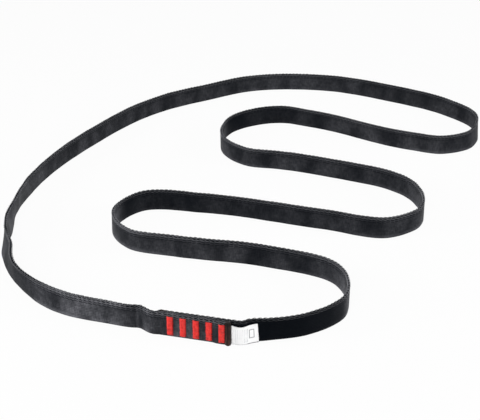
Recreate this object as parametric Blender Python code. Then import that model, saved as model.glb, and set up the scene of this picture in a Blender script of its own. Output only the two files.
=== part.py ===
# Anchor sling: an endless loop of flat webbing, closed by a lapped splice with five bar tacks,
# with a folded ribbon label sewn into the end of the lap. The loop stands on its lower edge.
# Metres. +X runs to the right along the splice side, +Y away from it, +Z up.

import math

import bmesh
import bpy
from mathutils import Vector
from mathutils.geometry import interpolate_bezier

# Clearance between pieces that touch on the real sling
touch_gap = 0.0003

# Webbing, flat woven band that stands on its lower selvedge
webbing_width = 0.019
webbing_thickness = 0.002
selvedge_round = 0.0005

# Splice, where the two ends of the webbing lie on each other and are sewn
splice_middle = (-0.0546, -0.2815)
splice_heading = math.radians(-16)
front_end_margin = 0.0064
back_end_margin = 0.0085
back_layer_lead = 0.0025

# Bar tacks, dense satin columns that stand across the webbing
tack_count = 5
tack_pitch = 0.0098
tack_width = 0.0042
tack_foot_margin = 0.0012
tack_top_margin = 0.0028
thread_rise = 0.0006
thread_leg = 0.0007
leg_inset = 0.0004
leg_rows = 3
crown_shares = ((-0.5, 0.35), (-0.36, 0.8), (-0.16, 1.0), (0.16, 1.0), (0.36, 0.8), (0.5, 0.35))

# Label, one ribbon folded double at its free end and sewn under the last bar tack
ribbon_width = 0.015
ribbon_thickness = 0.0003
ribbon_foot = 0.0004
label_length = 0.0195
label_tail_reach = 0.0036
label_steps = 12
fold_steps = 4

# Needle holes run past the webbing by this much on both faces
cut_overrun = 0.001

# Longest step along the band, and the most that it may turn and twist in one step
longest_step = 0.03
step_turn = math.radians(7)
step_twist = math.radians(4)

# Where the band leaves the splice: distance past the end of the other layer, distance back from
# the plane between the layers, and outward lean in degrees
front_steps = ((0.0045, -0.0017, 0), (0.0085, -0.0006, 0), (0.0124, 0.0013, 0), (0.0190, 0.0029, 1))
back_steps = ((0.0240, 0.0124, 5), (0.0155, 0.0079, 0), (0.0112, 0.0046, -3), (0.0074, 0.0016, 0))

# Free run of the webbing from the left of the splice, round the loop, to its right.
# Each row is x and y of the middle of the standing edge, and the outward lean in degrees.
route = (
    (-0.1206, -0.2590, -1), (-0.1552, -0.2457, -5), (-0.2018, -0.1900, 1),
    (-0.2162, -0.1560, -20), (-0.2214, -0.1310, -12), (-0.2192, -0.1110, 6),
    (-0.2228, -0.0650, -7), (-0.2161, -0.0133, -3), (-0.1738, 0.1078, 0),
    (-0.1060, 0.2155, 0), (-0.0550, 0.2545, 0), (-0.0150, 0.2808, 0),
    (0.0740, 0.2845, 2), (0.1440, 0.2465, 10), (0.1985, 0.2000, 8),
    (0.2226, 0.1560, 0), (0.2044, 0.0960, -8), (0.1770, 0.0842, -7),
    (0.1496, 0.0946, -4), (0.0500, 0.1635, 0), (0.0220, 0.1752, -7),
    (-0.0303, 0.1486, 0), (-0.0355, 0.0747, 0), (-0.0160, 0.0525, 0),
    (0.0130, 0.0446, 0), (0.0797, 0.0150, 0), (0.1113, -0.0035, 3),
    (0.1309, -0.0284, 2), (0.1295, -0.0924, 0), (0.1040, -0.1113, -3),
    (0.0490, -0.0942, 0), (-0.0570, -0.0588, 0), (-0.1088, -0.0546, -3),
    (-0.1327, -0.0992, 0), (-0.1160, -0.1327, 0), (-0.0760, -0.1477, 4),
    (-0.0042, -0.1660, 5), (0.0514, -0.1972, 2), (0.0548, -0.2478, 2),
    (0.0240, -0.2762, 4),
)

# Places across the splice, measured from the plane between its layers, away from the viewer
label_thickness = 3 * ribbon_thickness
tail_thickness = 2 * ribbon_thickness
layer_offset = (webbing_thickness + touch_gap) / 2
label_room = tail_thickness + touch_gap
front_face = -layer_offset - webbing_thickness / 2
back_face = -front_face
label_middle = -touch_gap / 2 - label_thickness / 2

# Places along the splice, measured from the middle bar tack towards the label
last_tack = (tack_count - 1) / 2 * tack_pitch
front_end = last_tack + front_end_margin
back_end = -last_tack - back_end_margin
tail_end = last_tack - label_tail_reach
jog_start = last_tack - tack_pitch + tack_width / 2
hinge_place = front_end + label_thickness / 2 + touch_gap


def clear_scene():
    for obj in list(bpy.data.objects):
        bpy.data.objects.remove(obj, do_unlink=True)


def material(name, colour, roughness):
    mat = bpy.data.materials.new(name)
    mat.use_nodes = True
    shader = mat.node_tree.nodes["Principled BSDF"]
    shader.inputs["Base Color"].default_value = (*colour, 1)
    shader.inputs["Roughness"].default_value = roughness
    shader.inputs["Metallic"].default_value = 0
    return mat


def solid(name, bm, mat, parent, location=(0, 0, 0)):
    """Turns a bmesh into a named object with smooth round faces."""
    bmesh.ops.recalc_face_normals(bm, faces=bm.faces)
    mesh = bpy.data.meshes.new(name)
    bm.to_mesh(mesh)
    bm.free()
    mesh.shade_smooth()
    mesh.set_sharp_from_angle(angle=math.radians(35))
    if mat:
        mesh.materials.append(mat)
    obj = bpy.data.objects.new(name, mesh)
    obj.location = location
    obj.parent = parent
    bpy.context.collection.objects.link(obj)
    return obj


def empty(name, parent=None, location=(0, 0, 0), turn=0):
    obj = bpy.data.objects.new(name, None)
    obj.location = location
    obj.rotation_euler = (0, 0, turn)
    obj.parent = parent
    bpy.context.collection.objects.link(obj)
    return obj


def extruded(outline, foot, height):
    """Stands an outline of (x, y) points up from foot to foot + height."""
    bm = bmesh.new()
    face = bm.faces.new([bm.verts.new((x, y, foot)) for x, y in outline])
    raised = bmesh.ops.extrude_face_region(bm, geom=[face])["geom"]
    verts = [item for item in raised if isinstance(item, bmesh.types.BMVert)]
    bmesh.ops.translate(bm, verts=verts, vec=(0, 0, height))
    return bm


def at_splice(along, across):
    """A point of the splice's own frame, in the plane of the table."""
    run = Vector((math.cos(splice_heading), math.sin(splice_heading)))
    back = Vector((-run.y, run.x))
    return Vector(splice_middle) + run * along + back * across


def knots():
    """The route's points in order, and which of them lie in the straight splice."""
    roomy = -layer_offset - label_room
    front = [(front_end, roomy, 0), (tail_end, roomy, 0), (jog_start, -layer_offset, 0),
             (back_end - touch_gap, -layer_offset, 0)]
    rear = [(hinge_place + back_layer_lead, layer_offset, 0), (0, layer_offset, 0),
            (back_end, layer_offset, 0)]
    straight = set(range(len(front) - 1))
    front += [(back_end - past, back, lean) for past, back, lean in front_steps]
    rear = [(front_end + past, back, lean) for past, back, lean in back_steps] + rear
    rows = [(*at_splice(along, back), lean) for along, back, lean in front]
    rows += route
    rows += [(*at_splice(along, back), lean) for along, back, lean in rear]
    straight |= {len(rows) - 3, len(rows) - 2}
    return [Vector((x, y, math.radians(lean))) for x, y, lean in rows], straight


def slope_at(before, here, after):
    """Direction of a smooth curve at a point, weighted by the nearer neighbour."""
    first = (here - before).xy.length
    second = (after - here).xy.length
    return ((here - before) / first * second + (after - here) / second * first) / (first + second)


def stations():
    """Points read from a smooth curve through the route, the third value being the lean."""
    points, straight = knots()
    padded = [2 * points[0] - points[1], *points, 2 * points[-1] - points[-2]]
    found = []
    for i in range(len(points) - 1):
        before, here, there, after = padded[i:i + 4]
        if i in straight:
            found.append(here)
            continue
        run = (there - here).xy.length
        leaving = slope_at(before, here, there)
        arriving = slope_at(here, there, after)
        turn = leaving.xy.angle(arriving.xy)
        twist = abs(there.z - here.z)
        steps = math.ceil(max(run / longest_step, turn / step_turn, twist / step_twist, 2))
        found += interpolate_bezier(here, here + leaving * run / 3, there - arriving * run / 3,
                                    there, steps + 1)[:-1]
    return found + [points[-1]]


def headings(path):
    """Unit direction at each point of a path, halfway between its two neighbouring runs."""
    runs = [(b - a).xy.normalized() for a, b in zip(path, path[1:])]
    return [(a + b).normalized() for a, b in zip([runs[0], *runs], [*runs, runs[-1]])]


def webbing_section():
    """The band's outline from its standing edge up: (across, height), rounded at the selvedges."""
    half = webbing_thickness / 2
    inner = half - selvedge_round
    top = webbing_width
    return ((-inner, 0), (inner, 0), (half, selvedge_round), (half, top - selvedge_round),
            (inner, top), (-inner, top), (-half, top - selvedge_round), (-half, selvedge_round))


def make_webbing(mat, parent):
    bm = bmesh.new()
    path = stations()
    rings = []
    for point, heading in zip(path, headings(path)):
        left = Vector((-heading.y, heading.x, 0))
        lean = point.z
        foot = Vector((point.x, point.y, (webbing_thickness / 2 - selvedge_round) * abs(math.sin(lean))))
        ring = []
        for across, height in webbing_section():
            sideways = across * math.cos(lean) + height * math.sin(lean)
            upwards = height * math.cos(lean) - across * math.sin(lean)
            ring.append(bm.verts.new(foot + left * sideways + Vector((0, 0, upwards))))
        rings.append(ring)
    for ring, following in zip(rings, rings[1:]):
        for i in range(len(ring)):
            j = (i + 1) % len(ring)
            bm.faces.new((ring[i], ring[j], following[j], following[i]))
    bm.faces.new(rings[0])
    bm.faces.new(rings[-1])
    return solid("webbing", bm, mat, parent)


def tack_places():
    return [(i - (tack_count - 1) / 2) * tack_pitch for i in range(tack_count)]


def leg_places():
    """Centres of a tack's needle legs: along the splice from the tack's middle, and height."""
    side = tack_width / 2 - leg_inset - thread_leg / 2
    foot = tack_foot_margin + leg_inset + thread_leg / 2
    top = webbing_width - tack_top_margin - leg_inset - thread_leg / 2
    heights = [foot + (top - foot) * i / (leg_rows - 1) for i in range(leg_rows)]
    return [(x, z) for x in (-side, side) for z in heights]


def leg_boxes(name, places, width, start, end, parent):
    """A helper solid with one square leg for each (along, height), from start to end across."""
    bm = bmesh.new()
    for x, z in places:
        box = bmesh.ops.create_cube(bm, size=1)["verts"]
        bmesh.ops.scale(bm, verts=box, vec=(width, abs(end - start), width))
        bmesh.ops.translate(bm, verts=box, vec=(x, (start + end) / 2, z))
    obj = solid(name, bm, None, parent)
    obj.hide_render = True
    obj.display_type = "WIRE"
    return obj


def combine(obj, other, operation):
    change = obj.modifiers.new(other.name, "BOOLEAN")
    change.operation = operation
    change.solver = "EXACT"
    change.object = other


def make_thread(name, place, face, side, mat, parent):
    """One thread of a bar tack: a crowned satin column with legs that go half way in.

    face is the place across the splice of the webbing that it lies on, and side is -1 in
    front and 1 behind.
    """
    base = face + side * touch_gap
    outline = [(place + tack_width * along, base + side * thread_rise * rise)
               for along, rise in crown_shares]
    outline += [(place + tack_width / 2, base), (place - tack_width / 2, base)]
    height = webbing_width - tack_foot_margin - tack_top_margin
    column = solid(name, extruded(outline, tack_foot_margin, height), mat, parent)
    rooted = base + side * thread_rise * crown_shares[0][1] / 2
    places = [(place + x, z) for x, z in leg_places()]
    legs = leg_boxes(name + "_legs", places, thread_leg, rooted, side * touch_gap / 2, parent)
    combine(column, legs, "UNION")
    return column


def make_needle_holes(parent):
    """Holes through both layers and the label's tail, with clearance round each leg."""
    places = [(place + x, z) for place in tack_places() for x, z in leg_places()]
    start = front_face - label_room - cut_overrun
    return leg_boxes("needle_holes", places, thread_leg + 2 * touch_gap,
                     start, back_face + cut_overrun, parent)


def make_label_tail(mat, parent):
    """The part of the label that is sewn between the layers, its two plies pressed together."""
    back = -touch_gap / 2
    front = back - tail_thickness
    outline = ((tail_end, front), (front_end, front), (front_end, back), (tail_end, back))
    return solid("label_tail", extruded(outline, ribbon_foot, ribbon_width), mat, parent)


def along_back_layer():
    """Points and headings of the back layer's middle from the label's crease outwards."""
    path = [point.xy for point in reversed(stations())]
    crease = at_splice(hinge_place, layer_offset)
    outward = Vector((math.cos(splice_heading), math.sin(splice_heading)))
    path = [crease] + [p for p in path if (p - crease).dot(outward) > 0
                       and (p - crease).length < 2 * label_length]
    found = [crease]
    step = label_length / label_steps
    left_over = step
    for start, end in zip(path, path[1:]):
        run = (end - start).length
        while left_over <= run and len(found) <= label_steps:
            found.append(start.lerp(end, left_over / run))
            left_over += step
        left_over -= run
    found = [Vector((*p, 0)) for p in found]
    return found, headings(found)


def make_label_flap(mat, parent):
    """The visible label: two plies that follow the back layer, joined by the fold at the free end."""
    path, directions = along_back_layer()
    hinge = at_splice(hinge_place, label_middle)
    skin = webbing_thickness / 2 + touch_gap

    def ply_line(depth):
        return [Vector((p.x + d.y * (skin + depth), p.y - d.x * (skin + depth)))
                for p, d in zip(path, directions)]

    def fold(radius):
        heading = directions[-1]
        middle = ply_line(label_thickness / 2)[-1]
        outward = Vector((-heading.y, heading.x))
        turns = [math.pi * i / fold_steps for i in range(1, fold_steps)]
        return [middle + outward * radius * math.cos(t) + heading * radius * math.sin(t) for t in turns]

    outer = ply_line(0) + fold(label_thickness / 2) + ply_line(label_thickness)[::-1]
    inner = ply_line(label_thickness - ribbon_thickness) + fold(ribbon_thickness / 2)[::-1]
    inner += ply_line(ribbon_thickness)[::-1]
    outline = [(p.x - hinge.x, p.y - hinge.y) for p in outer + inner]
    return solid("label_flap", extruded(outline, ribbon_foot, ribbon_width), mat, parent,
                 (hinge.x, hinge.y, 0))


def centre_on_origin(root, pieces):
    """Moves the whole sling so that its bounding box stands centred over the origin."""
    bpy.context.view_layer.update()
    graph = bpy.context.evaluated_depsgraph_get()
    corners = []
    for piece in pieces:
        seen = piece.evaluated_get(graph)
        corners += [seen.matrix_world @ vert.co for vert in seen.data.vertices]
    for axis in (0, 1):
        values = [corner[axis] for corner in corners]
        root.location[axis] = -(min(values) + max(values)) / 2


def build():
    clear_scene()
    charcoal = material("webbing_charcoal", (0.018, 0.019, 0.022), 0.75)
    red = material("thread_red", (0.62, 0.03, 0.025), 0.5)
    white = material("label_white", (0.8, 0.8, 0.8), 0.6)

    root = empty("sling_origin")
    splice = empty("splice_frame", root, (*splice_middle, 0), splice_heading)
    holes = make_needle_holes(splice)

    webbing = make_webbing(charcoal, root)
    combine(webbing, holes, "DIFFERENCE")
    tail = make_label_tail(white, splice)
    combine(tail, holes, "DIFFERENCE")
    pieces = [webbing, tail, make_label_flap(white, root)]

    for number, place in enumerate(tack_places(), start=1):
        over_label = place > tail_end
        face = front_face - label_room if over_label else front_face
        pieces.append(make_thread(f"bar_tack_{number}_needle_thread", place, face, -1, red, splice))
        pieces.append(make_thread(f"bar_tack_{number}_bobbin_thread", place, back_face, 1, red, splice))
    centre_on_origin(root, pieces)


build()
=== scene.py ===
import math

import bmesh
import bpy
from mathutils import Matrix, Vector, noise
from mathutils.geometry import interpolate_bezier


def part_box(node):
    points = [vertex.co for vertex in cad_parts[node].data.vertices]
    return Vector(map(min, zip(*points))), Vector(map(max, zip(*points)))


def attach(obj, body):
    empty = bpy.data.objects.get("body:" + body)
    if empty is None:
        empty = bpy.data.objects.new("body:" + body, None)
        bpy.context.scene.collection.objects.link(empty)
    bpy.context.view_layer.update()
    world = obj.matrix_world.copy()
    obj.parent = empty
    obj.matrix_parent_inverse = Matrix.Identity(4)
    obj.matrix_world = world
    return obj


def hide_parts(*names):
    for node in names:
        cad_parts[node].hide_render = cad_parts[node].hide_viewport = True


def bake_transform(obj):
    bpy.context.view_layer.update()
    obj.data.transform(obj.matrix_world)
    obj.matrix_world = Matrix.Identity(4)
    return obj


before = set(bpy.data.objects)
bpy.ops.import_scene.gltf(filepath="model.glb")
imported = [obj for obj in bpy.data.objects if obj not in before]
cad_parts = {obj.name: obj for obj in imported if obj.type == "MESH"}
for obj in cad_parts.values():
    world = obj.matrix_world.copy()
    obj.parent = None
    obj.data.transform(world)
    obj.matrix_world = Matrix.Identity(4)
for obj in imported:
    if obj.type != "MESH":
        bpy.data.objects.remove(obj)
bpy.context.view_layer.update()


# node helpers

class Wire:
    # an output socket that can be used in sums; each operator adds a Math node
    def __init__(self, sheet, socket):
        self.sheet = sheet
        self.socket = socket

    def sum(self, operation, *values):
        return self.sheet.add("ShaderNodeMath", {"operation": operation}, values)

    def __add__(self, other):
        return self.sum("ADD", self, other)

    def __radd__(self, other):
        return self.sum("ADD", other, self)

    def __sub__(self, other):
        return self.sum("SUBTRACT", self, other)

    def __rsub__(self, other):
        return self.sum("SUBTRACT", other, self)

    def __mul__(self, other):
        return self.sum("MULTIPLY", self, other)

    def __rmul__(self, other):
        return self.sum("MULTIPLY", other, self)

    def __truediv__(self, other):
        return self.sum("DIVIDE", self, other)

    def __rtruediv__(self, other):
        return self.sum("DIVIDE", other, self)

    def __abs__(self):
        return self.sum("ABSOLUTE", self)

    def sine(self):
        return self.sum("SINE", self)

    def cosine(self):
        return self.sum("COSINE", self)

    def fraction(self):
        return self.sum("FRACT", self)

    def least(self, other):
        return self.sum("MINIMUM", self, other)

    def most(self, other):
        return self.sum("MAXIMUM", self, other)

    def ramp(self, start, end):
        # 0 before start, 1 after end, smooth between
        return self.sheet.add("ShaderNodeMapRange", {"interpolation_type": "SMOOTHSTEP"},
                              {0: self, 1: start, 2: end, 3: 0.0, 4: 1.0})

    def part(self, name):
        return Wire(self.sheet, self.socket.node.outputs[name])


class Sheet:
    # a node tree with one method that adds any node
    def __init__(self, tree):
        self.tree = tree

    def add(self, kind, settings=None, values=(), output=0):
        node = self.tree.nodes.new(kind)
        for name, value in (settings or {}).items():
            setattr(node, name, value)
        pairs = values.items() if isinstance(values, dict) else enumerate(values)
        for key, value in pairs:
            if isinstance(value, Wire):
                self.tree.links.new(value.socket, node.inputs[key])
            else:
                node.inputs[key].default_value = value
        return Wire(self, node.outputs[output])

    def number(self, name):
        # a number that a piece carries at each of its points
        return self.add("ShaderNodeAttribute", {"attribute_name": name}, output="Fac")

    def grain(self, place, scale, detail=2.0):
        return self.add("ShaderNodeTexNoise", None, {"Vector": place, "Scale": scale, "Detail": detail})

    def blend(self, factor, first, second):
        return self.add("ShaderNodeMix", {"data_type": "RGBA"}, {0: factor, 6: first, 7: second}, 2)

    def join(self, x, y, z):
        return self.add("ShaderNodeCombineXYZ", None, (x, y, z))

    def vector(self, operation, *values):
        return self.add("ShaderNodeVectorMath", {"operation": operation}, values)

    def scaled(self, vector, size):
        return self.add("ShaderNodeVectorMath", {"operation": "SCALE"}, {0: vector, 3: size})


def newFinish(name, **fixed):
    # a material with its Principled shader, and its sheet of nodes
    finish = bpy.data.materials.new(name)
    finish.use_nodes = True
    shader = finish.node_tree.nodes["Principled BSDF"]
    for socket, value in fixed.items():
        shader.inputs[socket].default_value = value
    return finish, Sheet(finish.node_tree), shader


def coat(sheet, shader, colour, roughness, relief, strength, distance):
    # joins a colour, a roughness and a relief to the shader
    bump = sheet.add("ShaderNodeBump", None, {"Strength": strength, "Distance": distance, "Height": relief})
    for socket, wire in (("Base Color", colour), ("Roughness", roughness), ("Normal", bump)):
        sheet.tree.links.new(wire.socket, shader.inputs[socket])


def newTree(name, **inputs):
    # a Geometry Nodes tree with named inputs; gives the sheet, its geometry and its inputs
    tree = bpy.data.node_groups.new(name, "GeometryNodeTree")
    tree.interface.new_socket("Geometry", in_out="INPUT", socket_type="NodeSocketGeometry")
    tree.interface.new_socket("Geometry", in_out="OUTPUT", socket_type="NodeSocketGeometry")
    for label, kind in inputs.items():
        tree.interface.new_socket(label, in_out="INPUT", socket_type="NodeSocket" + kind)
    sheet = Sheet(tree)
    start = tree.nodes.new("NodeGroupInput")
    found = {label: Wire(sheet, start.outputs[label]) for label in inputs}
    return sheet, Wire(sheet, start.outputs["Geometry"]), found


def shapeOf(sheet, obj):
    return sheet.add("GeometryNodeObjectInfo", None, {"Object": obj}).part("Geometry")


def anyBetween(sheet, low, high, seed):
    return sheet.add("FunctionNodeRandomValue", {"data_type": "FLOAT_VECTOR"}, {0: low, 1: high, "Seed": seed})


def closeTree(sheet, geometry, material):
    smooth = sheet.add("GeometryNodeSetShadeSmooth", None, {"Geometry": geometry})
    solid = sheet.add("GeometryNodeRealizeInstances", None, {"Geometry": smooth})
    dressed = sheet.add("GeometryNodeSetMaterial", None, {"Geometry": solid, "Material": material})
    end = sheet.tree.nodes.new("NodeGroupOutput")
    sheet.tree.links.new(dressed.socket, end.inputs[0])
    return sheet.tree


def grow(obj, tree, **values):
    # runs a tree on an object and keeps the result as its plain mesh
    work = obj.modifiers.new(tree.name, "NODES")
    work.node_group = tree
    for item in tree.interface.items_tree:
        if item.in_out == "INPUT" and item.name in values:
            work[item.identifier] = values[item.name]
    graph = bpy.context.evaluated_depsgraph_get()
    mesh = bpy.data.meshes.new_from_object(obj.evaluated_get(graph))
    obj.modifiers.clear()
    obj.data = mesh
    mesh.name = obj.name
    return obj


# mesh helpers

def meshObject(name, points, edges=(), faces=()):
    mesh = bpy.data.meshes.new(name)
    mesh.from_pydata([tuple(p) for p in points], list(edges), list(faces))
    obj = bpy.data.objects.new(name, mesh)
    bpy.context.collection.objects.link(obj)
    return obj


def chainObject(name, points):
    return meshObject(name, points, [(i, i + 1) for i in range(len(points) - 1)])


def tubeFaces(rings, sides, closed=False):
    # faces of a tube whose points come ring by ring: closed on itself, or capped at both ends
    faces = []
    for k in range(rings if closed else rings - 1):
        there = (k + 1) % rings
        for turn in range(sides):
            after = (turn + 1) % sides
            faces.append((k * sides + turn, k * sides + after, there * sides + after, there * sides + turn))
    if not closed:
        faces.append(tuple(range(sides)))
        faces.append(tuple((rings - 1) * sides + turn for turn in range(sides)))
    return faces


def giveNumbers(obj, name, values):
    layer = obj.data.attributes.new(name, "FLOAT", "POINT")
    layer.data.foreach_set("value", values)


def outward(obj):
    work = bmesh.new()
    work.from_mesh(obj.data)
    bmesh.ops.recalc_face_normals(work, faces=work.faces)
    work.to_mesh(obj.data)
    work.free()
    return obj


# the line that the webbing follows

bandValues = {
    "width": 0.019, "thickness": 0.002, "gap": 0.0003, "foot": 0.0005,
    "step": 0.0023,                         # length of one slice
    "calm": 0.1, "calmFade": 0.05,          # length at either end without small bends, and where they grow
    "sway": 0.00045, "lean": 3.0,           # how far they push the webbing, and tip it in degrees
    "pushWaves": ((0.030, 3.7, 1.0), (0.013, 8.1, 0.6)),     # length of a wave, seed, share
    "tipWaves": ((0.045, 21.3, 1.0), (0.019, 5.5, 0.4)),
    "bendReach": 12,                        # slices to either side in which a bend is measured
    "bendFrom": 0.20, "bendSpan": 0.35,     # radians at which a bend starts to show, and up to its full look
    "footOutline": ((0.30, 0.0), (0.74, 0.00012), (0.95, 0.00045)),   # share of the half thickness, height
    "ridges": 12, "ridgesFoot": 0.0009, "ridgesTop": 0.0164,          # shallow warp ridges on both faces
    "groove": 0.09, "crownShares": (0.32, 0.68), "shoulder": 0.88,
    "core": 0.74,                           # share that the upper selvedge keeps under its threads
    "coreTop": 0.0186,
    "topOutline": ((0.74, 0.0019), (0.74, 0.0006), (0.55, 0.00015), (0.25, 0.0)),     # share, depth under it
}

spliceValues = {
    "middle": (-0.0546, -0.2815), "heading": -16,  # place in the route's own axes, degrees from x
    "tacks": 5, "tackPitch": 0.0098, "tackWidth": 0.0042,
    "frontMargin": 0.0064, "backMargin": 0.0085,   # from the outer tacks to the ends of the layers
    "tailReach": 0.0036,                           # how far the ribbon goes in past the last tack
    "backLead": 0.0025, "ply": 0.0003,             # straight part past the hinge, thickness of the ribbon
}

# past the back layer's end to the left, back, lean
frontSteps = (
    (0.0045, -0.0017, 0), (0.0090, -0.0004, 0), (0.0128, 0.0018, 0), (0.0165, 0.0036, 0), (0.0235, 0.0028, 1),
)
# past the front layer's end to the right, back, lean
backSteps = ((0.0240, 0.0124, 5), (0.0155, 0.0079, 0), (0.0112, 0.0046, -3), (0.0074, 0.0016, 0))

# x and y of the standing edge, and its lean in degrees to the left of the way it runs,
# from the splice's left end round to its right end
route = (
    (-0.1206, -0.2590, -1), (-0.1552, -0.2457, -5), (-0.2018, -0.1900, 1),
    (-0.2162, -0.1560, -20), (-0.2214, -0.1310, -12), (-0.2192, -0.1110, 6),
    (-0.2228, -0.0650, -7), (-0.2161, -0.0133, -3), (-0.1738, 0.1078, 0),
    (-0.1060, 0.2155, 0), (-0.0550, 0.2545, 0), (-0.0150, 0.2808, 0),
    (0.0740, 0.2845, 2), (0.1440, 0.2465, 10), (0.1985, 0.2000, 8),
    (0.2226, 0.1560, 0), (0.2044, 0.0960, -8), (0.1770, 0.0842, -7),
    (0.1496, 0.0946, -4), (0.0500, 0.1635, 0), (0.0220, 0.1752, -7),
    (-0.0303, 0.1486, 0), (-0.0355, 0.0747, 0), (-0.0160, 0.0525, 0),
    (0.0130, 0.0446, 0), (0.0797, 0.0150, 0), (0.1113, -0.0035, 3),
    (0.1309, -0.0284, 2), (0.1295, -0.0924, 0), (0.1040, -0.1113, -3),
    (0.0490, -0.0942, 0), (-0.0570, -0.0588, 0), (-0.1088, -0.0546, -3),
    (-0.1327, -0.0992, 0), (-0.1160, -0.1327, 0), (-0.0760, -0.1477, 4),
    (-0.0042, -0.1660, 5), (0.0514, -0.1972, 2), (0.0548, -0.2478, 2),
    (0.0240, -0.2762, 4),
)

spliceTurn = math.radians(spliceValues["heading"])
spliceRun = Vector((math.cos(spliceTurn), math.sin(spliceTurn), 0))
spliceBack = Vector((-spliceRun.y, spliceRun.x, 0))
middleTack = [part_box(f"bar_tack_3_{side}_thread") for side in ("needle", "bobbin")]
spliceOrigin = sum((low + high for low, high in middleTack), Vector()) / 4
spliceOrigin.z = 0
routeShift = spliceOrigin - Vector((*spliceValues["middle"], 0))
layerOffset = (bandValues["thickness"] + bandValues["gap"]) / 2
labelRoom = 2 * spliceValues["ply"] + bandValues["gap"]
lastTack = (spliceValues["tacks"] - 1) / 2 * spliceValues["tackPitch"]
frontEnd = lastTack + spliceValues["frontMargin"]
backEnd = -lastTack - spliceValues["backMargin"]
tailEnd = lastTack - spliceValues["tailReach"]
jogStart = lastTack - spliceValues["tackPitch"] + spliceValues["tackWidth"] / 2
hinge = frontEnd + 1.5 * spliceValues["ply"] + bandValues["gap"]


def atSplice(along, back, height=0.0):
    return spliceOrigin + spliceRun * along + spliceBack * back + Vector((0, 0, height))


# camera

cameraValues = {
    "place": (-0.02358, -1.03349, 0.4364),   # in the route's own axes
    "tilt": 66, "lens": 89.93, "sensor": 36, "nearest": 0.05,
}


def makeCamera():
    data = bpy.data.cameras.new("camera")
    data.lens = cameraValues["lens"]
    data.sensor_width = cameraValues["sensor"]
    data.clip_start = cameraValues["nearest"]
    camera = bpy.data.objects.new("camera", data)
    camera.location = Vector(cameraValues["place"]) + routeShift
    camera.rotation_euler = (math.radians(cameraValues["tilt"]), 0, 0)
    bpy.context.scene.collection.objects.link(camera)
    bpy.context.scene.camera = camera


makeCamera()
print("camera placed")


# webbing

def bandKnots():
    # the listed points from the front layer's end all round to the back layer's end, x, y and lean,
    # and which stretches between them are straight
    roomy = -layerOffset - labelRoom
    front = [(frontEnd, roomy, 0), (tailEnd, roomy, 0), (jogStart, -layerOffset, 0),
             (backEnd - bandValues["gap"], -layerOffset, 0)]
    rear = [(hinge + spliceValues["backLead"], layerOffset, 0), (0, layerOffset, 0), (backEnd, layerOffset, 0)]
    straight = set(range(len(front) - 1))
    front += [(backEnd - past, back, lean) for past, back, lean in frontSteps]
    rear = [(frontEnd + past, back, lean) for past, back, lean in backSteps] + rear
    rows = [(*atSplice(along, back).xy, lean) for along, back, lean in front]
    rows += [(x + routeShift.x, y + routeShift.y, lean) for x, y, lean in route]
    rows += [(*atSplice(along, back).xy, lean) for along, back, lean in rear]
    straight |= {len(rows) - 3, len(rows) - 2}
    return [Vector((x, y, math.radians(lean))) for x, y, lean in rows], straight


def slopeAt(before, here, after):
    first = (here - before).xy.length
    second = (after - here).xy.length
    return ((here - before) / first * second + (after - here) / second * first) / (first + second)


def bandLine():
    # points along the standing edge, z being the lean
    points, straight = bandKnots()
    padded = [2 * points[0] - points[1], *points, 2 * points[-1] - points[-2]]
    found = []
    for i in range(len(points) - 1):
        before, here, there, after = padded[i:i + 4]
        run = (there - here).xy.length
        steps = max(2, math.ceil(run / bandValues["step"]))
        if i in straight:
            found += [here.lerp(there, k / steps) for k in range(steps)]
        else:
            leaving = slopeAt(before, here, there)
            arriving = slopeAt(here, there, after)
            found += interpolate_bezier(here, here + leaving * run / 3, there - arriving * run / 3,
                                        there, steps + 1)[:-1]
    return found + [points[-1]]


def flatHeadings(points):
    runs = [(b - a).xy.normalized() for a, b in zip(points, points[1:])]
    return [(a + b).normalized() for a, b in zip([runs[0], *runs], [*runs, runs[-1]])]


def waves(gone, rows):
    return sum(share * noise.noise(Vector((gone / length, seed, 0))) for length, seed, share in rows)


def swayed(points):
    # small bends that a laid webbing keeps; none in and near the splice
    v = bandValues
    gone = [0.0]
    for a, b in zip(points, points[1:]):
        gone.append(gone[-1] + (b - a).xy.length)
    found = []
    for point, heading, s in zip(points, flatHeadings(points), gone):
        free = max(0, min(1, (s - v["calm"]) / v["calmFade"], (gone[-1] - v["calm"] - s) / v["calmFade"]))
        left = Vector((-heading.y, heading.x))
        moved = point.xy + left * waves(s, v["pushWaves"]) * v["sway"] * free
        found.append(Vector((*moved, point.z + math.radians(v["lean"]) * waves(s, v["tipWaves"]) * free)))
    return found, gone


line, lineGone = swayed(bandLine())
print("webbing line:", len(line), "points,", round(lineGone[-1], 4), "m")


def standing(height):
    # the line at a height on the band
    found = []
    for point, heading in zip(line, flatHeadings(line)):
        left = Vector((-heading.y, heading.x, 0))
        lift = bandValues["foot"] * abs(math.sin(point.z))
        found.append(Vector((point.x, point.y, lift)) + left * math.sin(point.z) * height
                     + Vector((0, 0, math.cos(point.z) * height)))
    return found
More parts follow.
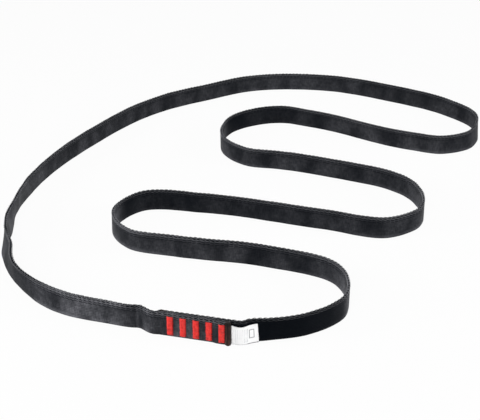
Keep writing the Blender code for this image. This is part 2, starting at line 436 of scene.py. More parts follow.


# way gone in metres and how light the cloth is painted there: painted sheen, mostly at the bends, and painted
# shade on the rest and in the crease by the splice
sheenShadeValues = (
    (0.000, 1.5), (0.050, 1.6), (0.058, 1.3), (0.062, 1.9), (0.0665, 1.8), (0.0690, 0.8), (0.0715, 0.8),
    (0.0736, 1.7), (0.0755, 0.7), (0.081, 0.9), (0.086, 1.7), (0.100, 2.2), (0.130, 1.9), (0.160, 1.2),
    (0.185, 0.3), (0.225, 0.6), (0.265, 0.8), (0.290, 2.0), (0.325, 2.2), (0.400, 1.1), (0.620, 0.8),
    (0.850, 0.8), (0.940, 0.6), (1.040, 0.8), (1.110, 0.7), (1.190, 1.0), (1.275, 0.7), (1.345, 0.25),
    (1.400, 0.08), (1.418, 1.0), (1.445, 0.9), (1.500, 0.8), (1.640, 0.7), (1.705, 1.2), (1.760, 0.8),
    (1.850, 0.65), (1.980, 0.35), (2.010, 0.20), (2.035, 1.8), (2.080, 1.25), (2.210, 0.65), (2.260, 0.8),
    (2.290, 1.6), (2.312, 1.5), (2.326, 0.30), (2.338, 0.05), (2.430, 0.05), (2.500, 0.4),
)


# the painted sheen and shade at a way gone
def sheenShadeAt(gone):
    for (a, here), (b, there) in zip(sheenShadeValues, sheenShadeValues[1:]):
        if gone <= b:
            share = (gone - a) / (b - a)
            return here + (there - here) * share * share * (3 - 2 * share)
    return sheenShadeValues[-1][1]


def bends():
    # 0 on a straight run to 1 in a tight bend, from how far the webbing turns in some 5 cm
    ways = flatHeadings(line)
    last, reach = len(line) - 1, bandValues["bendReach"]
    turned = [ways[max(0, i - reach)].angle(ways[min(last, i + reach)]) for i in range(last + 1)]
    return [min(1.0, max(0.0, (angle - bandValues["bendFrom"]) / bandValues["bendSpan"])) for angle in turned]


def footChain(name):
    # a chain of points with the numbers that the trees and finishes read
    chain = chainObject(name, standing(0))
    giveNumbers(chain, "bent", bends())
    giveNumbers(chain, "lean", [point.z for point in line])
    giveNumbers(chain, "along", lineGone)
    # painted sheen and shade along the band
    giveNumbers(chain, "fade", [sheenShadeAt(gone) for gone in lineGone])
    return chain


def leanedAxes(sheet):
    # unit vectors up the band and across it, from the tangent and the lean
    lean = sheet.add("GeometryNodeInputNamedAttribute", {"data_type": "FLOAT"}, {"Name": "lean"})
    tangent = sheet.add("GeometryNodeInputTangent")
    left = sheet.vector("NORMALIZE", sheet.vector("CROSS_PRODUCT", (0, 0, 1), tangent))
    upward = sheet.vector("ADD", sheet.scaled(left, lean.sine()), sheet.join(0.0, 0.0, lean.cosine()))
    across = sheet.vector("SUBTRACT", sheet.scaled(left, lean.cosine()), sheet.join(0.0, 0.0, lean.sine()))
    return upward, across


def sectionChain():
    # outline of the band: shares of the half thickness with their heights, foot to top, then mirrored
    v = bandValues
    side = list(v["footOutline"])
    pitch = (v["ridgesTop"] - v["ridgesFoot"]) / v["ridges"]
    for k in range(v["ridges"]):
        start = v["ridgesFoot"] + k * pitch
        side += [(1 - v["groove"], start)] + [(1.0, start + share * pitch) for share in v["crownShares"]]
    side += [(v["shoulder"], v["ridgesTop"])]
    side += [(share, v["coreTop"] - depth) for share, depth in v["topOutline"]]
    loop = side + [(-share, height) for share, height in reversed(side)]
    count = len(loop)
    points = [(share, height, 0) for share, height in loop]
    chain = meshObject("webbingSection", points, [(i, (i + 1) % count) for i in range(count)])
    giveNumbers(chain, "height", [height for _, height in loop])
    return chain


def webbingTree():
    sheet, chain, given = newTree("sweptWebbing", Section="Object", Half="Float", Material="Material")
    curve = sheet.add("GeometryNodeMeshToCurve", None, {"Mesh": chain})
    upward, across = leanedAxes(sheet)
    curve = sheet.add("GeometryNodeSetCurveNormal", {"mode": "FREE"}, {"Curve": curve, "Normal": across})
    outline = sheet.add("GeometryNodeTransform", None, {
        "Geometry": shapeOf(sheet, given["Section"]), "Scale": sheet.join(given["Half"], 1.0, 1.0)})
    outline = sheet.add("GeometryNodeMeshToCurve", None, {"Mesh": outline})
    swept = sheet.add("GeometryNodeCurveToMesh", None, {
        "Curve": curve, "Profile Curve": outline, "Fill Caps": True})
    return closeTree(sheet, swept, given["Material"])


# lengths in mm
weaveValues = {
    "dark": (0.0010, 0.0018, 0.0032, 1), "light": (0.134, 0.135, 0.149, 1),
    "unit": 3.9, "slant": 0.21,                  # length of one edge unit, and its rise for each mm along
    "dashRows": ((3.1, 0.95), (4.7, 0.65)),      # dark dashes: how far under the upper edge, how strong
    "dashEnds": (1.30, 1.95), "dashSides": (0.20, 0.75),
    "highlightRows": ((2.4, 1.0), (3.85, 0.6)), "highlightSides": (0.15, 0.60),   # painted highlights: light lines between them, where thread edges catch the light
    "coreDepths": (1.9, 2.3), "coreShade": 0.94,  # where the painted shade begins on the core that the loops lie on
    "patch": (22, 40, 0.0, 3.0), "streak": (0.8, 4.0, 7.0, 2.0),        # grain along, up, seed, detail
    "blotch": (4.0, 4.0, 12.0, 2.0), "line": (8, 0.55, 3.0, 2.0),
    "tone": 0.065, "patchTone": 0.20, "shine": 0.17,                    # plain cloth, patches, painted highlight lines
    "streakVaries": 0.48, "blotchVaries": 0.40, "grooveShade": 0.38, "lineVaries": 1.1,
    "footTone": 1.2, "fall": 0.02,               # lighter at the foot, less so with each mm up
    "bendFootHighlight": 0.16, "bendTopHighlight": 0.10,           # painted highlight on the edges of a bend
}


def charcoalWeave():
    # warp ridges, weft streaks up the band, dashes under the edge and soft patches from handling, with painted
    # highlights, painted shade and painted sheen
    v = weaveValues
    finish, sheet, shader = newFinish("charcoalWeave", **{"Metallic": 0.0, "Specular IOR Level": 0.025})
    along = sheet.number("along") * 1000
    height = sheet.number("height") * 1000
    bent = sheet.number("bent")
    below = bandValues["width"] * 1000 - height
    local = ((along / v["unit"]).fraction() - 0.5) * v["unit"]
    slanted = below + local * v["slant"]
    short = 1 - abs(local).ramp(*v["dashEnds"])
    dash = 0
    for row, strength in v["dashRows"]:
        dash = dash + (1 - abs(slanted - row).ramp(*v["dashSides"])) * short * strength
    # painted highlights: light lines where the thread edges catch the light
    shine = 0
    for row, strength in v["highlightRows"]:
        shine = shine + (1 - abs(slanted - row).ramp(*v["highlightSides"])) * strength
    core = 1 - below.ramp(*v["coreDepths"])
    pitch = (bandValues["ridgesTop"] - bandValues["ridgesFoot"]) / bandValues["ridges"] * 1000
    ridge = (((height - bandValues["ridgesFoot"] * 1000) / pitch).fraction() * math.pi).sine()

    def grain(x, y, seed, detail):
        return sheet.grain(sheet.join(along / x, height / y, seed), 1.0, detail)

    patch, streak, blotch, line = (grain(*v[name]) for name in ("patch", "streak", "blotch", "line"))
    tone = v["tone"] + patch.ramp(0.32, 0.68) * v["patchTone"]
    streaks, blotches = streak.ramp(0.30, 0.70), blotch.ramp(0.30, 0.70)
    for mask, name in ((streaks, "streakVaries"), (blotches, "blotchVaries"), (line, "lineVaries")):
        tone = tone * (1 + (mask - 0.5) * v[name])
    # painted shade in the grooves between the warp ridges; lighter towards the foot
    tone = tone * (1 - (1 - ridge) * v["grooveShade"]) * (v["footTone"] - height * v["fall"])
    # the dark dashes, the painted highlight lines, and painted shade on the core behind and between the loops
    tone = (tone * (1 - dash) + shine * v["shine"]) * (1 - core * v["coreShade"])
    # painted highlight: in a bend the foot and the upper edge are made lighter, for the grazing light they
    # catch
    tone = tone + (1 - height.ramp(0.6, 4.2)) * bent * v["bendFootHighlight"] + core * bent * v["bendTopHighlight"]
    # painted sheen and shade along the band
    tone = tone * sheet.number("fade")
    colour = sheet.blend(tone.least(1.0).most(0.0), v["dark"], v["light"])
    relief = ridge * 0.4 + streak * 0.2 + line * 0.3 - dash * 0.6
    coat(sheet, shader, colour, 0.42 + blotch * 0.16 + core * 0.25, relief, 0.5, 0.0003)
    return finish


def makeWebbing():
    section = sectionChain()
    band = footChain("webbing_band")
    grow(band, webbingTree(), Section=section, Half=bandValues["thickness"] / 2, Material=charcoalWeave())
    bpy.data.objects.remove(section)
    outward(band)
    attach(band, "sling")
    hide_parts("webbing")
    return band


band = makeWebbing()
print("webbing swept:", len(band.data.polygons), "faces")


# upper selvedge: slanted thread loops on both faces, and short bindings over the edge

edgeValues = {
    "pitch": 0.0039, "firstShare": 0.15, "loopLag": 0.5,      # first binding and the loops' lag, in pitches
    "loopLength": 0.0050, "loopHeight": 0.0016, "loopThread": 0.00046, "loopBelow": 0.00135,
    "loopTilt": 12, "overlap": 0.00016, "loopOut": 0.3, "loopSteps": 12, "loopSides": 4,
    "pointed": 1.25, "slimEnds": 0.62,                        # pointed ends of a loop, with a thinner thread
    "bindLength": 0.0007, "bindDepth": 0.0009, "bindThread": 0.00055, "bindSlant": 0.0007, "bindSides": 5,
    "bindArch": 1.15, "bindWidths": (0.45, 0.9, 1.0, 1.0, 0.9, 0.45),
    "jitter": 0.10, "seed": 7,
    "dark": (0.004, 0.0045, 0.006, 1), "light": (0.172, 0.173, 0.188, 1),
    "tone": 0.12, "fineTone": 0.12, "broadTone": 0.19,        # plain thread, and what its grains add
    "sheenShadeFrom": 0.42, "sheenShadeShare": 0.75,                      # how much of the cloth's painted sheen and shade they take
    "loopPaintedLight": 1.25, "bindPaintedShade": 0.25, "bentPaintedLight": 1.3,   # painted light: the loops lighter as a painted highlight, the bindings darker as painted shade, and both lighter in a bend as a painted highlight
}


def loopTemplate():
    # one pointed thread loop: x along the webbing, y out from its face, z up
    v = edgeValues
    radius = v["loopThread"] / 2
    tilt = math.radians(v["loopTilt"])
    around, sides = v["loopSteps"], v["loopSides"]
    turns = [2 * math.pi * k / around for k in range(around)]
    middles = []
    for angle in turns:
        x = math.cos(angle) * v["loopLength"] / 2
        z = math.copysign(abs(math.sin(angle)) ** v["pointed"], math.sin(angle)) * v["loopHeight"] / 2
        y = v["overlap"] * math.cos(angle)
        middles.append(Vector((x * math.cos(tilt) - z * math.sin(tilt), y,
                               x * math.sin(tilt) + z * math.cos(tilt))))
    points = []
    for k, middle in enumerate(middles):
        run = (middles[(k + 1) % around] - middles[k - 1]).normalized()
        side = run.cross(Vector((0, 1, 0))).normalized()
        lift = side.cross(run)
        slim = radius * (v["slimEnds"] + (1 - v["slimEnds"]) * abs(math.sin(turns[k])))
        for turn in range(sides):
            angle = 2 * math.pi * (turn + 0.5) / sides
            points.append(middle + side * math.cos(angle) * slim + lift * math.sin(angle) * slim)
    return outward(meshObject("threadLoop", points, faces=tubeFaces(around, sides, closed=True)))


def bindTemplate():
    # one short binding over the edge: x along, y across, z up from the top of the webbing
    v = edgeValues
    core = bandValues["core"] * bandValues["thickness"] / 2
    rise = v["bindThread"] / 2
    side = [(core, -v["bindDepth"]), (core + 0.5 * rise, -0.5 * v["bindDepth"]),
            (0.5 * core, -v["bindArch"] * rise)]
    spine = [(-y, z) for y, z in side] + side[::-1]
    points = []
    last, sides = len(spine) - 1, v["bindSides"]
    for k, ((y, z), wide) in enumerate(zip(spine, v["bindWidths"])):
        run = (Vector(spine[min(k + 1, last)]) - Vector(spine[max(k - 1, 0)])).normalized()
        middle = (k / last - 0.5) * 2 * v["bindSlant"]
        for turn in range(sides):
            angle = 2 * math.pi * (turn + 0.25) / sides
            x = middle + math.cos(angle) * v["bindLength"] / 2 * wide
            lift = math.sin(angle) * rise * wide
            points.append((x, y - run.y * lift, z + run.x * lift))
    return outward(meshObject("binding", points, faces=tubeFaces(len(spine), sides)))


def edgeTree():
    # copies of one shape at even steps along the band, at a height on it and a distance out from its middle
    sheet, chain, given = newTree("alongEdge", Shape="Object", Pitch="Float", Start="Float", Height="Float",
                                  Out="Float", Side="Float", Jitter="Float", Seed="Int", Material="Material")
    endless = 100.0
    curve = sheet.add("GeometryNodeMeshToCurve", None, {"Mesh": chain})
    curve = sheet.add("GeometryNodeTrimCurve", {"mode": "LENGTH"}, {
        "Curve": curve, 4: given["Start"], 5: endless})
    curve = sheet.add("GeometryNodeResampleCurve", {"mode": "LENGTH"}, {
        "Curve": curve, "Length": given["Pitch"]})
    upward, across = leanedAxes(sheet)
    outer = sheet.scaled(across, given["Side"])
    place = sheet.vector("ADD", sheet.scaled(upward, given["Height"]), sheet.scaled(outer, given["Out"]))
    facing = sheet.add("FunctionNodeAxesToRotation", {"primary_axis": "Z", "secondary_axis": "Y"}, {
        "Primary Axis": upward, "Secondary Axis": outer})
    low = sheet.join(1 - given["Jitter"] * 0.5, 1.0, 1 - given["Jitter"])
    high = sheet.join(1 + given["Jitter"] * 0.5, 1.0, 1 + given["Jitter"])
    size = anyBetween(sheet, low, high, given["Seed"])
    # the axes are read before the points move, because a moved line has other tangents
    marked = sheet.add("GeometryNodeStoreNamedAttribute", {"data_type": "FLOAT_VECTOR", "domain": "POINT"}, {
        "Geometry": curve, "Name": "shift", "Value": place})
    marked = sheet.add("GeometryNodeStoreNamedAttribute", {"data_type": "QUATERNION", "domain": "POINT"}, {
        "Geometry": marked, "Name": "facing", "Value": facing})
    shift = sheet.add("GeometryNodeInputNamedAttribute", {"data_type": "FLOAT_VECTOR"}, {"Name": "shift"})
    facing = sheet.add("GeometryNodeInputNamedAttribute", {"data_type": "QUATERNION"}, {"Name": "facing"})
    points = sheet.add("GeometryNodeSetPosition", None, {"Geometry": marked, "Offset": shift})
    copies = sheet.add("GeometryNodeInstanceOnPoints", None, {
        "Points": points, "Instance": shapeOf(sheet, given["Shape"]), "Rotation": facing, "Scale": size})
    return closeTree(sheet, copies, given["Material"])


def edgeThread(name, shade):
    # the threads take only part of the cloth's painted sheen and shade, so they stay lighter than the cloth
    # where it is painted darkest
    v = edgeValues
    finish, sheet, shader = newFinish(name, **{"Metallic": 0.0, "Specular IOR Level": 0.10})
    place = sheet.add("ShaderNodeTexCoord", output="Object")
    fine, broad = sheet.grain(place, 900.0), sheet.grain(place, 42.0)
    tone = v["tone"] + fine.ramp(0.3, 0.7) * v["fineTone"] + broad.ramp(0.25, 0.75) * v["broadTone"]
    # part of the cloth's painted sheen and shade
    tone = tone * (v["sheenShadeFrom"] + sheet.number("fade") * v["sheenShadeShare"])
    # painted light: a painted highlight on the loops, painted shade on the bindings, and a painted highlight
    # in a bend
    tone = tone * (shade + sheet.number("bent") * (v["bentPaintedLight"] - shade))
    colour = sheet.blend(tone.least(1.0), v["dark"], v["light"])
    coat(sheet, shader, colour, 0.38 + fine * 0.2, fine, 0.35, 0.0002)
    return finish


def makeEdge():
    v = edgeValues
    loop, bind = loopTemplate(), bindTemplate()
    tree = edgeTree()
    # one thread finish, in a lit copy for the loops and a shaded copy for the bindings
    loopThread = edgeThread("loopThread", v["loopPaintedLight"])
    bindingThread = edgeThread("bindingThread", v["bindPaintedShade"])
    out = bandValues["core"] * bandValues["thickness"] / 2 + v["loopOut"] * v["loopThread"]
    level = bandValues["width"] - v["loopBelow"]
    plan = (("selvedge_loops_left", loop, v["loopLag"], level, out, 1.0, loopThread),
            ("selvedge_loops_right", loop, v["loopLag"], level, out, -1.0, loopThread),
            ("selvedge_binding", bind, 0.0, bandValues["width"], 0.0, 1.0, bindingThread))
    made = []
    for name, shape, lag, height, away, side, finish in plan:
        piece = footChain(name)
        grow(piece, tree, Shape=shape, Pitch=v["pitch"], Start=(v["firstShare"] + lag) * v["pitch"],
             Height=height, Out=away, Side=side, Jitter=v["jitter"], Seed=v["seed"], Material=finish)
        outward(piece)
        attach(piece, "sling")
        made.append(piece)
    bpy.data.objects.remove(loop)
    bpy.data.objects.remove(bind)
    return made


edging = makeEdge()
print("selvedge threads:", [len(obj.data.polygons) for obj in edging], "faces")


# sealed ends

sealValues = {
    "reach": 0.0050, "past": 0.0002,                # length of the rim, and how far it passes the cloth
    "slices": 20, "around": 28,
    "swell": 0.00035, "growth": 5,                  # how much thicker it is, from 1/growth of its length on
    "unevenShare": 0.3, "unevenTurns": 14,
    "rounding": 0.0011, "tipShare": 0.9, "footRound": 0.0004, "topRound": 0.0009,   # the rounded tip
    "footLift": 0.0005, "topDrop": 0.0001,
    "sideSquare": 0.45, "edgeSquare": 0.22,         # the lower, the squarer the section
    "wrinkles": 2.0, "wrinkleStart": 0.35, "wrinkle": 0.00022, "wrinkleEdge": 3,    # raised lines up the end
    "bead": 0.0030, "beadHeight": 0.0011, "beadSpan": 0.0028,       # the melted bead at the lower corner
    "beadPlace": 0.0016, "beadLength": 0.0021, "beadBack": 0.35, "beadTip": 0.0022, "beadSlim": 0.45,
    "corner": 0.0006,                               # how far the back end's upper corner curls up
    "dark": (0.0032, 0.0022, 0.0020, 1), "brown": (0.066, 0.028, 0.021, 1),
    "blackFrom": 0.0148, "blackTo": 0.0162,         # heights between which the brown ends
}


def sealedBrown():
    # burnt cloth: nearly black with brown, which shows mostly on the wrinkle crests as a painted highlight and
    # fades to near black between them as painted shade
    v = sealValues
    finish, sheet, shader = newFinish("sealedBrown", **{"Metallic": 0.0, "Specular IOR Level": 0.12})
    place = sheet.add("ShaderNodeTexCoord", output="Object")
    lumps = sheet.grain(place, 260.0, 3.0)
    streak = sheet.grain(sheet.vector("MULTIPLY", place, (900, 900, 60)), 1.0)
    height = sheet.add("ShaderNodeSeparateXYZ", None, {"Vector": place}, "Z")
    # painted highlight on the wrinkle crests, painted shade between them
    tone = (lumps * 0.25 + streak.ramp(0.35, 0.65) * 0.40) * (0.12 + sheet.number("crest") * 1.1)
    tone = tone * (1 - height.ramp(v["blackFrom"], v["blackTo"]) * 0.8)
    colour = sheet.blend(tone.least(1.0), v["dark"], v["brown"])
    coat(sheet, shader, colour, 0.30 + lumps * 0.25, lumps + streak * 0.5, 0.5, 0.0004)
    return finish


def rimSlice(share, away, corner):
    # how far the rim has grown at a share of its length, and its half thickness, foot and top
    v = sealValues
    grown = min(1.0, share * v["growth"])
    close = max(0.0, 1 - away / v["rounding"])
    uneven = 1 - v["unevenShare"] + v["unevenShare"] * math.sin(share * v["unevenTurns"])
    thick = bandValues["thickness"] / 2 + v["swell"] * grown * uneven
    thick *= math.sqrt(1 - close * close * v["tipShare"])
    foot = v["footLift"] * (1 - grown) + v["footRound"] * close * close
    top = bandValues["width"] - v["topDrop"] - v["topRound"] * close * close + corner * grown * share ** 3
    return grown, thick, foot, top


def makeSealedEnd(name, tip, inward, depth, finish, bead, corner):
    # a melted rim that caps an end of the webbing: tip and inward are places along the splice
    v = sealValues
    points, crests = [], []
    for k in range(v["slices"] + 1):
        share = k / v["slices"]
        away = (1 - share) * v["reach"]
        grown, thick, foot, top = rimSlice(share, away, corner)
        crest = math.cos(math.pi * v["wrinkles"] * (share - v["wrinkleStart"])) ** 2
        slim = 1 - v["beadSlim"] * max(0.0, 1 - away / v["beadTip"]) ** 2
        swollen = bead * slim * math.exp(-((away - v["beadPlace"]) / v["beadLength"]) ** 2)
        for turn in range(v["around"]):
            angle = 2 * math.pi * turn / v["around"]
            c, s = math.cos(angle), math.sin(angle)
            y = math.copysign(abs(c) ** v["sideSquare"], c) * thick
            z = (foot + top) / 2 + math.copysign(abs(s) ** v["edgeSquare"], s) * (top - foot) / 2
            if c < 0:
                y -= v["wrinkle"] * crest * grown * min(1, abs(c) * v["wrinkleEdge"])
            # the bead swells to both sides and most to the front
            near = math.exp(-((z - v["beadHeight"]) / v["beadSpan"]) ** 2)
            y += swollen * near * (c * v["beadBack"] if c > 0 else c)
            points.append(atSplice(tip - inward * away, depth + y, z))
            crests.append(crest)
    obj = meshObject(name, points, faces=tubeFaces(v["slices"] + 1, v["around"]))
    giveNumbers(obj, "crest", crests)
    outward(obj)
    obj.data.materials.append(finish)
    obj.data.shade_smooth()
    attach(obj, "sling")
    return obj


def makeSealedEnds():
    v = sealValues
    finish = sealedBrown()
    depth = -layerOffset - labelRoom
    return [makeSealedEnd("sealed_end_front", frontEnd + v["past"], 1, depth, finish, v["bead"], 0.0),
            makeSealedEnd("sealed_end_back", backEnd - v["past"], -1, layerOffset, finish, 0.0, v["corner"])]


sealedEnds = makeSealedEnds()
print("sealed ends made")

bandMiddle = standing(bandValues["width"] / 2)


# bar tacks

tackValues = {
    "foot": 0.0016, "top": 0.0162, "rise": 0.0006, "threads": 32, "thread": 0.00054, "sides": 5,
    "dive": 0.0004, "hook": 0.0001,                                # how a stitch goes into the webbing
    "archShares": ((0.72, 0.42), (0.25, 0.58)),                    # of the half width, of the rise
    "wander": 0.00012, "tilt": 4.0, "seed": 3,
    "smallest": (0.96, 0.9, 0.92), "largest": (1.05, 1.08, 1.1),   # scale of a stitch
    "dark": (0.30, 0.0045, 0.0040, 1), "light": (0.57, 0.020, 0.015, 1),
}


def stitchTemplate():
    # one satin thread: x along the webbing, y out from its face
    v = tackValues
    half = spliceValues["tackWidth"] / 2
    radius = v["thread"] / 2
    spine = [(-half - v["hook"], -v["dive"]), (-half + v["hook"], 0.05 * v["rise"])]
    spine += [(-half * along, up * v["rise"]) for along, up in v["archShares"]]
    spine += [(-x, y) for x, y in reversed(spine)]
    points = []
    for k, (x, y) in enumerate(spine):
        before = Vector(spine[max(k - 1, 0)])
        after = Vector(spine[min(k + 1, len(spine) - 1)])
        run = (after - before).normalized()
        for turn in range(v["sides"]):
            angle = 2 * math.pi * (turn + 0.25) / v["sides"]
            lift = math.sin(angle) * radius
            points.append((x - run.y * lift, y + run.x * lift, math.cos(angle) * radius))
    return outward(meshObject("stitch", points, faces=tubeFaces(len(spine), v["sides"])))


def tackTree():
    # a column of stitches that each wander, tilt and vary a little
    sheet, chain, given = newTree("satinColumn", Stitch="Object", Count="Int", Wander="Float", Tilt="Float",
                                  Turn="Float", Seed="Int", Material="Material")
    curve = sheet.add("GeometryNodeMeshToCurve", None, {"Mesh": chain})
    curve = sheet.add("GeometryNodeResampleCurve", {"mode": "COUNT"}, {
        "Curve": curve, "Count": given["Count"]})
    furthest = sheet.join(given["Wander"], 0.0, given["Wander"])
    drift = anyBetween(sheet, sheet.scaled(furthest, -1.0), furthest, given["Seed"])
    curve = sheet.add("GeometryNodeSetPosition", None, {"Geometry": curve, "Offset": drift})
    swing = sheet.add("FunctionNodeRandomValue", {"data_type": "FLOAT"}, {
        2: given["Tilt"] * -1, 3: given["Tilt"], "Seed": given["Seed"] + 11}, 1)
    facing = sheet.join(0.0, swing, given["Turn"])
    size = anyBetween(sheet, tackValues["smallest"], tackValues["largest"], given["Seed"] + 23)
    stitches = sheet.add("GeometryNodeInstanceOnPoints", None, {
        "Points": curve, "Instance": shapeOf(sheet, given["Stitch"]), "Rotation": facing, "Scale": size})
    return closeTree(sheet, stitches, given["Material"])


def satinRed():
    v = tackValues
    finish, sheet, shader = newFinish("satinRed", **{"Metallic": 0.0, "Specular IOR Level": 0.3})
    place = sheet.add("ShaderNodeTexCoord", output="Object")
    broad = sheet.grain(place, 420.0)
    fine = sheet.grain(sheet.vector("MULTIPLY", place, (400, 400, 2600)), 1.0)
    colour = sheet.blend((broad * 0.7 + fine * 0.3).ramp(0.25, 0.65), v["dark"], v["light"])
    coat(sheet, shader, colour, 0.38 + fine * 0.2, fine, 0.3, 0.0001)
    return finish


def makeTacks():
    v = tackValues
    stitch = stitchTemplate()
    tree = tackTree()
    finish = satinRed()
    skin = layerOffset + bandValues["thickness"] / 2 + bandValues["gap"]
    inset = v["thread"] / 2
    made = []
    for number in range(1, spliceValues["tacks"] + 1):
        place = (number - 1) * spliceValues["tackPitch"] - lastTack
        front = -skin - (labelRoom if place > tailEnd else 0)
        for thread, back, turn in (("needle", front, math.pi + spliceTurn), ("bobbin", skin, spliceTurn)):
            ends = [atSplice(place, back, v["foot"] + inset), atSplice(place, back, v["top"] - inset)]
            tack = chainObject(f"bar_tack_{number}_{thread}_stitches", ends)
            grow(tack, tree, Stitch=stitch, Count=v["threads"], Wander=v["wander"],
                 Tilt=math.radians(v["tilt"]), Turn=turn, Seed=v["seed"] + 10 * number + (thread == "bobbin"),
                 Material=finish)
            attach(tack, "sling")
            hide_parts(f"bar_tack_{number}_{thread}_thread")
            made.append(tack)
    bpy.data.objects.remove(stitch)
    return made


tacks = makeTacks()
print("bar tacks:", len(tacks), "columns of", len(tacks[0].data.polygons), "faces")


# label

labelValues = {
    "width": 0.015, "length": 0.0195, "foot": 0.0004, "trim": 0.0003, "flat": (0.015, 0.062),
    "reach": 0.05,                                  # how far the webbing is followed past the crease
    "step": 0.0005, "rows": 12, "tailSteps": 14, "foldSteps": 8,
    "apart": 0.00006,                               # air between the plies inside the splice
    "dip": 0.0009, "dipAt": 0.0054, "dipSpan": 0.0045,             # the upper edge sinks behind the crease
    "short": 0.0007, "slope": 0.0011, "cutFrom": 0.010, "cutSpan": 0.010,   # the free end is cut at a slant
    "bendStart": -0.0004, "bendEnd": 0.0012, "bendHeight": 0.008,  # points from its hinge that are worked out but bend nothing
}

# lengths in mm: along from the crease, up from the ribbon's foot
printValues = {
    "paper": ((0.72, 0.72, 0.725, 1), (0.81, 0.81, 0.81, 1)), "rule": (0.26, 0.28, 0.30, 1),
    # the grey of the lower edge is partly a painted shadow
    "frame": (0.16, 0.165, 0.17, 1), "edgeShadowAndMarks": (0.10, 0.10, 0.11, 1),
    "fieldAlong": (2.0, 11.3), "fieldUp": (1.6, 13.2), "soft": 0.1, "rulePitch": 1.15,
    "frameMiddle": (14.2, 8.2), "frameHalf": (1.9, 3.3), "frameLine": (0.20, 0.42),
    "yarn": 0.3, "stainSize": 5,
}


def labelLine():
    # the middle of the back layer from the crease outwards, and its headings
    points = [point.xy for point in reversed(line)]
    crease = atSplice(hinge, layerOffset).xy
    step, reach = labelValues["step"], labelValues["reach"]
    ahead = [p for p in points if (p - crease).dot(spliceRun.xy) > 0 and (p - crease).length < reach]
    path, found = [crease] + ahead, [crease]
    wanted = round(labelValues["length"] / step)
    due = step
    for a, b in zip(path, path[1:]):
        run = (b - a).length
        while due <= run and len(found) <= wanted:
            found.append(a.lerp(b, due / run))
            due += step
        due -= run
    return found, flatHeadings([Vector((*p, 0)) for p in found])


def labelOutline():
    # closed outline of the folded ribbon seen from above, and how many of its points are on the outside
    v = labelValues
    path, ways = labelLine()
    ply = spliceValues["ply"]
    thick = 3 * ply
    skin = bandValues["thickness"] / 2 + bandValues["gap"]
    back = -bandValues["gap"] / 2

    def run(depth, tailDepth):
        steps = v["tailSteps"]
        tail = [atSplice(tailEnd + (hinge - tailEnd) * k / steps, tailDepth).xy for k in range(steps)]
        free = [Vector((p.x + d.y * (skin + depth), p.y - d.x * (skin + depth))) for p, d in zip(path, ways)]
        return tail + free[1:]

    heading = ways[-1]
    side = Vector((-heading.y, heading.x))
    tip = run(thick / 2, 0)[-1]

    def fold(radius):
        turns = [math.pi * i / v["foldSteps"] for i in range(1, v["foldSteps"])]
        return [tip + side * radius * math.cos(t) + heading * radius * math.sin(t) for t in turns]

    outer = run(0, back) + fold(thick / 2) + run(thick, back - 2 * ply - v["apart"])[::-1]
    inner = run(thick - ply, back - ply - v["apart"]) + fold(thick / 2 - ply)[::-1]
    inner += run(ply, back - ply)[::-1]
    return outer + inner, len(outer)


def whiteRibbon():
    # coated white ribbon with pale printed rules and an empty frame
    v = printValues
    finish, sheet, shader = newFinish("whiteRibbon", Metallic=0.0)
    along = sheet.number("along") * 1000
    height = sheet.number("height") * 1000
    weave = (height / v["yarn"] * 2 * math.pi).sine() * (along / v["yarn"] * 2 * math.pi).sine()
    stain = sheet.grain(sheet.join(along / v["stainSize"], height / v["stainSize"], 1.0), 1.0, 3.0)
    colour = sheet.blend(stain, *v["paper"])
    rules = (1 - abs((along / v["rulePitch"]).fraction() - 0.5).ramp(0.10, 0.18)) * stain.ramp(0.30, 0.62)
    for way, (start, end) in ((along, v["fieldAlong"]), (height, v["fieldUp"])):
        rules = rules * way.ramp(start, start + v["soft"]) * (1 - way.ramp(end, end + v["soft"]))
    colour = sheet.blend(rules * (0.5 + along.ramp(6.5, 8.5) * 0.4), colour, v["rule"])
    aside, above = (abs(way - middle) - half for way, middle, half in
                    zip((along, height), v["frameMiddle"], v["frameHalf"]))
    frameLine = 1 - abs(aside.most(above)).ramp(*v["frameLine"])
    colour = sheet.blend(frameLine * 0.9, colour, v["frame"])
    # the sealed lower edge is painted grey: a painted shadow, most under the free end where the ribbon is
    # lifted, with grey marks along the rest
    edgeShadowAndMarks = (1 - height.ramp(0.45, 0.85)) * (0.30 + along.ramp(9.0, 12.0) * 0.7) * stain.ramp(0.25, 0.5)
    colour = sheet.blend(edgeShadowAndMarks, colour, v["edgeShadowAndMarks"])
    coat(sheet, shader, colour, 0.42 + stain * 0.2, weave, 0.25, 0.0001)
    return finish


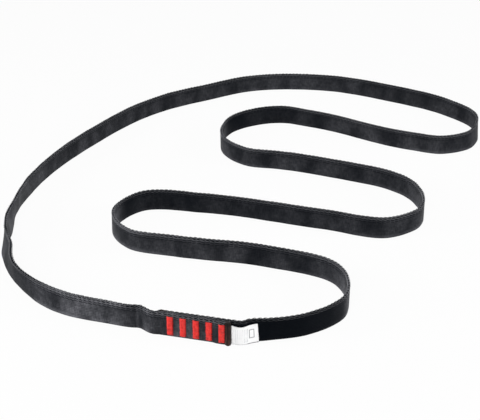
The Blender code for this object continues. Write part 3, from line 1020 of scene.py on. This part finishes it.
def makeLabel():
    v = labelValues
    outline, outerCount = labelOutline()
    count = len(outline)
    crease = atSplice(hinge, 0).xy
    heading = labelLine()[1][-1]
    points, along, height, faces = [], [], [], []
    for row in range(v["rows"] + 1):
        share = row / v["rows"]
        for p in outline:
            gone = (p - crease).length if (p - crease).dot(spliceRun.xy) > 0 else 0.0
            sunk = v["dip"] * math.exp(-((gone - v["dipAt"]) / v["dipSpan"]) ** 2) * share if gone else 0.0
            cut = max(0.0, (gone - v["cutFrom"]) / v["cutSpan"])
            back = heading * (v["short"] + v["slope"] * share) * cut
            points.append((p.x - back.x, p.y - back.y, v["foot"] + (v["width"] - v["trim"]) * share - sunk))
            along.append((p - crease).length)
            height.append(v["width"] * share)
    for row in range(v["rows"]):
        for i in range(count):
            a, b = row * count + i, row * count + (i + 1) % count
            faces.append((a, b, b + count, a + count))
    # the two cut edges, as strips between the outer and the inner line
    for level in (0, v["rows"] * count):
        for i in range(outerCount - 1):
            a, d = level + i, level + count - 1 - i
            faces.append((a, a + 1, d - 1, d))
    label = meshObject("label_ribbon", points, faces=faces)
    giveNumbers(label, "along", along)
    giveNumbers(label, "height", height)
    outward(label)
    label.data.materials.append(whiteRibbon())
    label.data.shade_smooth()
    label.data.set_sharp_from_angle(angle=math.radians(50))
    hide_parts("label_tail", "label_flap")
    start, end = (atSplice(hinge + v[name], 0, v["bendHeight"]) for name in ("bendStart", "bendEnd"))
    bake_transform(label)
    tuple(start)
    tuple(end)
    return label


label = makeLabel()
print("label folded:", len(label.data.polygons), "faces")


# floor and light

stageValues = {
    "floorSize": 8.0, "floorTone": 0.5, "showThrough": 0.95, "world": 0.18,
    # place, aim, size, watts
    "lamps": {
        "overhead": ((0.1, 0.2, 1.6), (0.0, 0.0, 0.0), 1.2, 9),
        "front": ((-0.40, -1.40, 0.90), (0.0, -0.15, 0.0), 0.5, 19),
        "left": ((-1.20, -0.35, 0.40), (-0.08, -0.15, 0.0), 0.5, 15),
        "right": ((1.20, -0.25, 0.40), (0.08, -0.10, 0.0), 0.5, 15),
    },
}


def seenRay(sheet):
    # 1 for what the camera sees, also in and through the object
    path = sheet.add("ShaderNodeLightPath")
    return path.most(path.part("Is Glossy Ray")).most(path.part("Is Transmission Ray"))


def makeFloor():
    size = stageValues["floorSize"] / 2
    floor = meshObject("floor", [(-size, -size, 0), (size, -size, 0), (size, size, 0), (-size, size, 0)],
                       faces=[(0, 1, 2, 3)])
    finish, sheet, shader = newFinish("paleFloor", Roughness=0.9)
    shader.inputs["Base Color"].default_value = (*[stageValues["floorTone"]] * 3, 1)
    glow = sheet.add("ShaderNodeEmission", None, {"Color": (1, 1, 1, 1), "Strength": 1.0})
    mixed = sheet.add("ShaderNodeMixShader", None, {
        0: seenRay(sheet) * stageValues["showThrough"], 1: Wire(sheet, shader.outputs[0]), 2: glow})
    out = finish.node_tree.nodes["Material Output"]
    sheet.tree.links.new(mixed.socket, out.inputs["Surface"])
    floor.data.materials.append(finish)


def makeWorld():
    world = bpy.data.worlds.new("studio")
    bpy.context.scene.world = world
    world.use_nodes = True
    sheet = Sheet(world.node_tree)
    ground = world.node_tree.nodes["Background"]
    ground.inputs["Color"].default_value = (1, 1, 1, 1)
    level = seenRay(sheet) * (1 - stageValues["world"]) + stageValues["world"]
    sheet.tree.links.new(level.socket, ground.inputs["Strength"])


def makeLamps():
    for name, (place, aim, size, watts) in stageValues["lamps"].items():
        data = bpy.data.lights.new(name, "AREA")
        data.shape = "DISK"
        data.size = size
        data.energy = watts
        lamp = bpy.data.objects.new(name, data)
        lamp.location = place
        lamp.visible_camera = False
        lamp.rotation_euler = (Vector(aim) - Vector(place)).to_track_quat("-Z", "Y").to_euler()
        bpy.context.scene.collection.objects.link(lamp)


makeFloor()
makeWorld()
makeLamps()
bpy.context.scene.view_settings.view_transform = "Standard"
print("floor and light placed")
